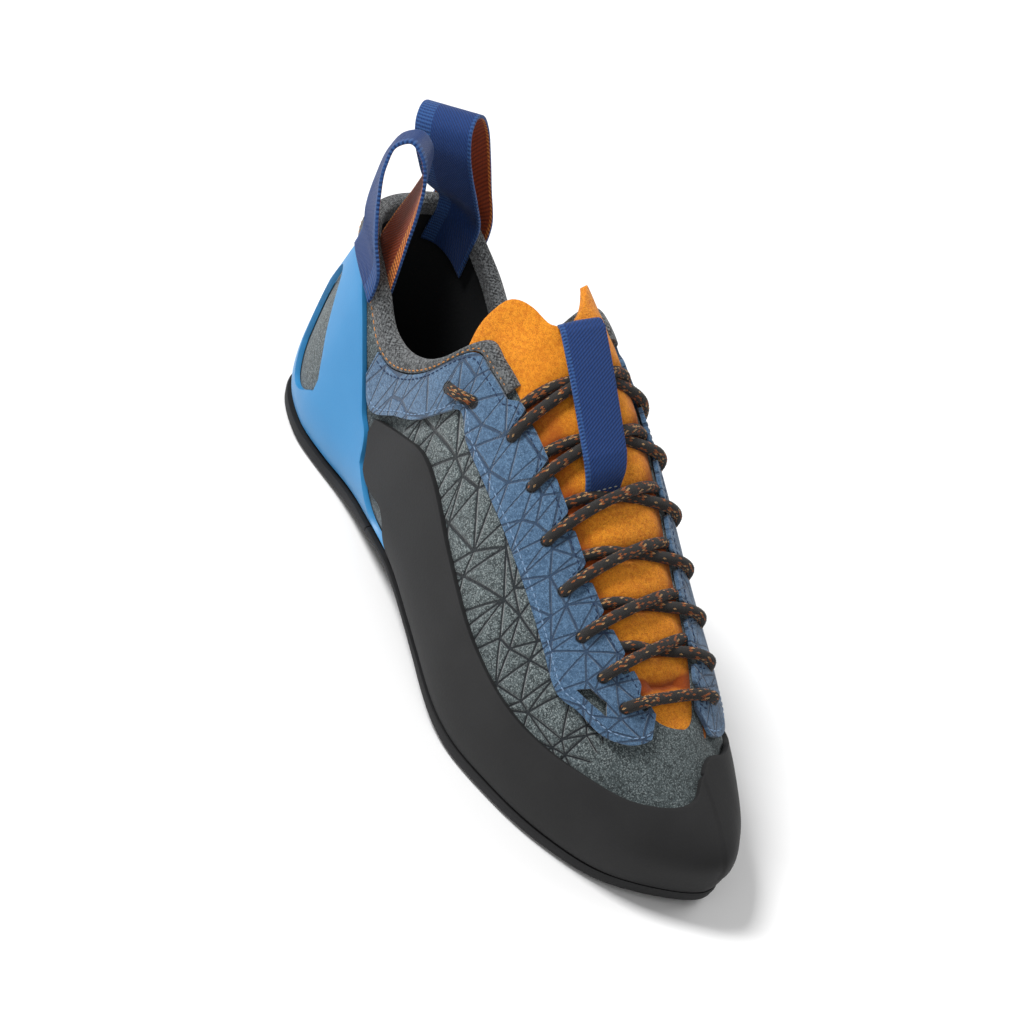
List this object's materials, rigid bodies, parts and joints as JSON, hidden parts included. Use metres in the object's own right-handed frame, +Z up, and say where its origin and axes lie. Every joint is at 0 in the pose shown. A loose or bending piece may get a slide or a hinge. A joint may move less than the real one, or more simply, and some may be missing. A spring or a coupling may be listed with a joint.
{
  "type": "climbing shoe",
  "caption": "Lace-up climbing shoe for the right foot: lasted suede upper over a thin rubber sole, with toe and heel rands, tongue, lace facings, laces and two heel pull loops.",
  "frame": {"origin": "centre of the flat spot under the heel, on the floor", "axes": "+X from heel to toe, +Y towards the big-toe side, +Z up from the floor"},
  "size_m": [0.2516, 0.0813, 0.1141],
  "materials": {
    "upper_suede": "charcoal suede, speckled nap",
    "sole_rubber": "matt black climbing rubber",
    "insole_board": "dark lined footbed",
    "tongue_suede": "orange suede",
    "heel_rubber": "satin azure rubber",
    "toe_rubber": "matt black rubber",
    "binding_knit": "grey knitted binding",
    "facing_fibre": "steel-blue microfibre",
    "webbing": "navy woven webbing",
    "lace_cord": "black braided cord with orange flecks"
  },
  "bodies": {
    "root": {"upper": "upper_suede", "outsole": "sole_rubber", "heel_sole": "sole_rubber", "insole": "insole_board", "tongue": "tongue_suede", "heel_rand": "heel_rubber", "toe_rand": "toe_rubber", "collar_binding": "binding_knit", "eyestay_lateral": "facing_fibre", "eyestay_medial": "facing_fibre", "tongue_tab": "webbing", "pull_loop_lateral": "webbing", "pull_loop_medial": "webbing", "lace_cross_1": "lace_cord", "lace_cross_2": "lace_cord", "lace_cross_3": "lace_cord", "lace_cross_4": "lace_cord", "lace_cross_5": "lace_cord", "lace_cross_6": "lace_cord", "lace_bar": "lace_cord"}
  },
  "joints": []
}
